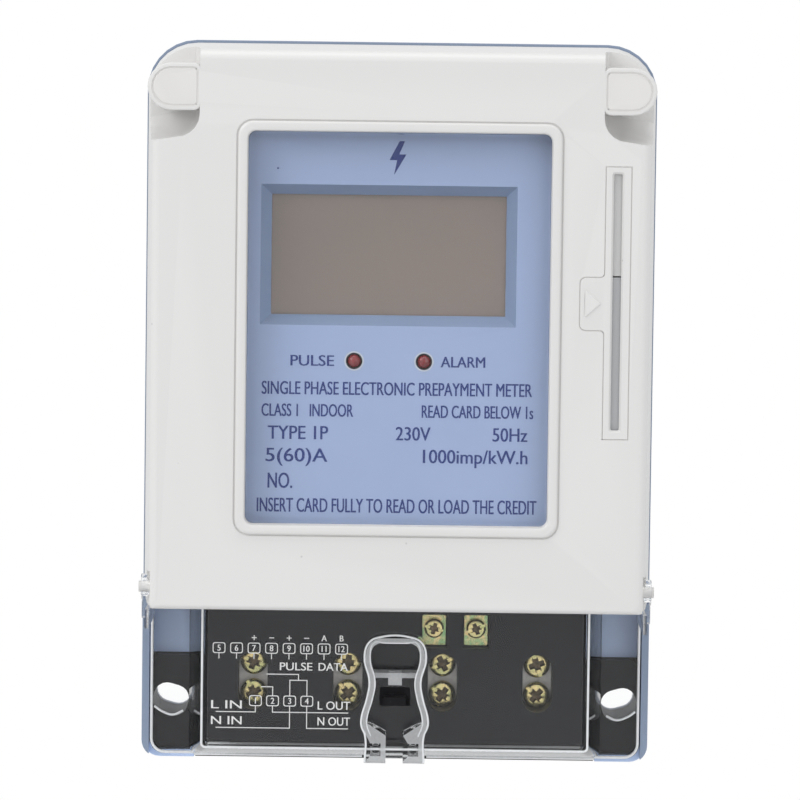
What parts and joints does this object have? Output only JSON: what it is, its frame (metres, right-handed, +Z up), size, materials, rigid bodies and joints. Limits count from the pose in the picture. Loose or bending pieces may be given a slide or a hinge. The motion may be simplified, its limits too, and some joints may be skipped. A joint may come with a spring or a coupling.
{
  "type": "prepaid electricity meter",
  "caption": "Wall-mounted single-phase meter: tub and white front housing, window over a display plate, card slot, terminal block and a clear hinged terminal cover.",
  "frame": {"origin": "centre of the flat back face, where the meter rests on the wall", "axes": "+X to the right seen from the front, +Y into the wall, +Z up; the front faces -Y"},
  "size_m": [0.1134, 0.058, 0.1606],
  "materials": {
    "white_plastic": "fine moulded satin",
    "blue_plastic": "fine moulded satin",
    "clear_plastic": "clear, glossy",
    "plate_blue": "printed, satin",
    "lcd": "polariser film",
    "led_red": "tinted, glossy",
    "circuit_board": "solder mask",
    "grey_plastic": "satin",
    "blue_sleeve": "shrink sleeve",
    "yellow_plastic": "satin",
    "black_plastic": "fine moulded satin",
    "zinc_plate": "zinc plated",
    "copper": "bare copper strip",
    "brass_screw": "yellow passivated"
  },
  "bodies": {
    "case": {"base_tub": "blue_plastic", "front_housing": "white_plastic", "window_lens": "clear_plastic", "nameplate": "plate_blue", "lcd_glass": "lcd", "lcd_frame": "white_plastic", "display_board": "circuit_board", "led_pulse": "led_red", "led_alarm": "led_red", "slot_bezel": "white_plastic", "card_reader": "grey_plastic", "main_board": "circuit_board", "current_transformer": "grey_plastic", "electrolytic_capacitor": "blue_sleeve", "battery_cell": "zinc_plate", "film_capacitor": "yellow_plastic", "relay": "black_plastic", "terminal_block": "black_plastic", "terminal_1": "zinc_plate", "busbar_1": "copper", "terminal_2": "zinc_plate", "busbar_2": "copper", "terminal_3": "zinc_plate", "busbar_3": "copper", "terminal_4": "zinc_plate", "busbar_4": "copper", "aux_terminal_1": "brass_screw", "aux_terminal_2": "brass_screw", "card_seal_upper": "grey_plastic", "card_seal_lower": "grey_plastic", "case_screw_left": "zinc_plate", "case_screw_right": "zinc_plate"},
    "cover": {"terminal_cover": "clear_plastic"},
    "terminal_screw_1_upper": {"terminal_screw_1_upper": "brass_screw"},
    "terminal_screw_1_lower": {"terminal_screw_1_lower": "brass_screw"},
    "terminal_screw_2_upper": {"terminal_screw_2_upper": "brass_screw"},
    "terminal_screw_2_lower": {"terminal_screw_2_lower": "brass_screw"},
    "terminal_screw_3_upper": {"terminal_screw_3_upper": "brass_screw"},
    "terminal_screw_3_lower": {"terminal_screw_3_lower": "brass_screw"},
    "terminal_screw_4_upper": {"terminal_screw_4_upper": "brass_screw"},
    "terminal_screw_4_lower": {"terminal_screw_4_lower": "brass_screw"},
    "aux_screw_1": {"aux_screw_1": "brass_screw"},
    "aux_screw_2": {"aux_screw_2": "brass_screw"},
    "screw_cap_left": {"screw_cap_left": "white_plastic"},
    "screw_cap_right": {"screw_cap_right": "white_plastic"}
  },
  "joints": [
    {"name": "cover_hinge", "type": "hinge", "parent": "case", "child": "cover", "pos_m": [0, -0.0525, -0.0389], "axis": [-1, 0, 0], "range_deg": [0, 100]},
    {"name": "terminal_screw_1_upper_turn", "type": "hinge", "parent": "case", "child": "terminal_screw_1_upper", "pos_m": [-0.0315, -0.0305, -0.05765], "axis": [0, 1, 0], "continuous": true},
    {"name": "terminal_screw_1_lower_turn", "type": "hinge", "parent": "case", "child": "terminal_screw_1_lower", "pos_m": [-0.0315, -0.0305, -0.06455], "axis": [0, 1, 0], "continuous": true},
    {"name": "terminal_screw_2_upper_turn", "type": "hinge", "parent": "case", "child": "terminal_screw_2_upper", "pos_m": [-0.0105, -0.0305, -0.05765], "axis": [0, 1, 0], "continuous": true},
    {"name": "terminal_screw_2_lower_turn", "type": "hinge", "parent": "case", "child": "terminal_screw_2_lower", "pos_m": [-0.0105, -0.0305, -0.06455], "axis": [0, 1, 0], "continuous": true},
    {"name": "terminal_screw_3_upper_turn", "type": "hinge", "parent": "case", "child": "terminal_screw_3_upper", "pos_m": [0.0105, -0.0305, -0.05765], "axis": [0, 1, 0], "continuous": true},
    {"name": "terminal_screw_3_lower_turn", "type": "hinge", "parent": "case", "child": "terminal_screw_3_lower", "pos_m": [0.0105, -0.0305, -0.06455], "axis": [0, 1, 0], "continuous": true},
    {"name": "terminal_screw_4_upper_turn", "type": "hinge", "parent": "case", "child": "terminal_screw_4_upper", "pos_m": [0.0315, -0.0305, -0.05765], "axis": [0, 1, 0], "continuous": true},
    {"name": "terminal_screw_4_lower_turn", "type": "hinge", "parent": "case", "child": "terminal_screw_4_lower", "pos_m": [0.0315, -0.0305, -0.06455], "axis": [0, 1, 0], "continuous": true},
    {"name": "aux_screw_1_turn", "type": "hinge", "parent": "case", "child": "aux_screw_1", "pos_m": [0.0085, -0.036, -0.0492], "axis": [0, 1, 0], "continuous": true},
    {"name": "aux_screw_2_turn", "type": "hinge", "parent": "case", "child": "aux_screw_2", "pos_m": [0.0178, -0.036, -0.0492], "axis": [0, 1, 0], "continuous": true},
    {"name": "screw_cap_left_pull", "type": "slide", "parent": "case", "child": "screw_cap_left", "axis": [0, -1, 0], "range_m": [0, 0.006]},
    {"name": "screw_cap_right_pull", "type": "slide", "parent": "case", "child": "screw_cap_right", "axis": [0, -1, 0], "range_m": [0, 0.006]}
  ]
}
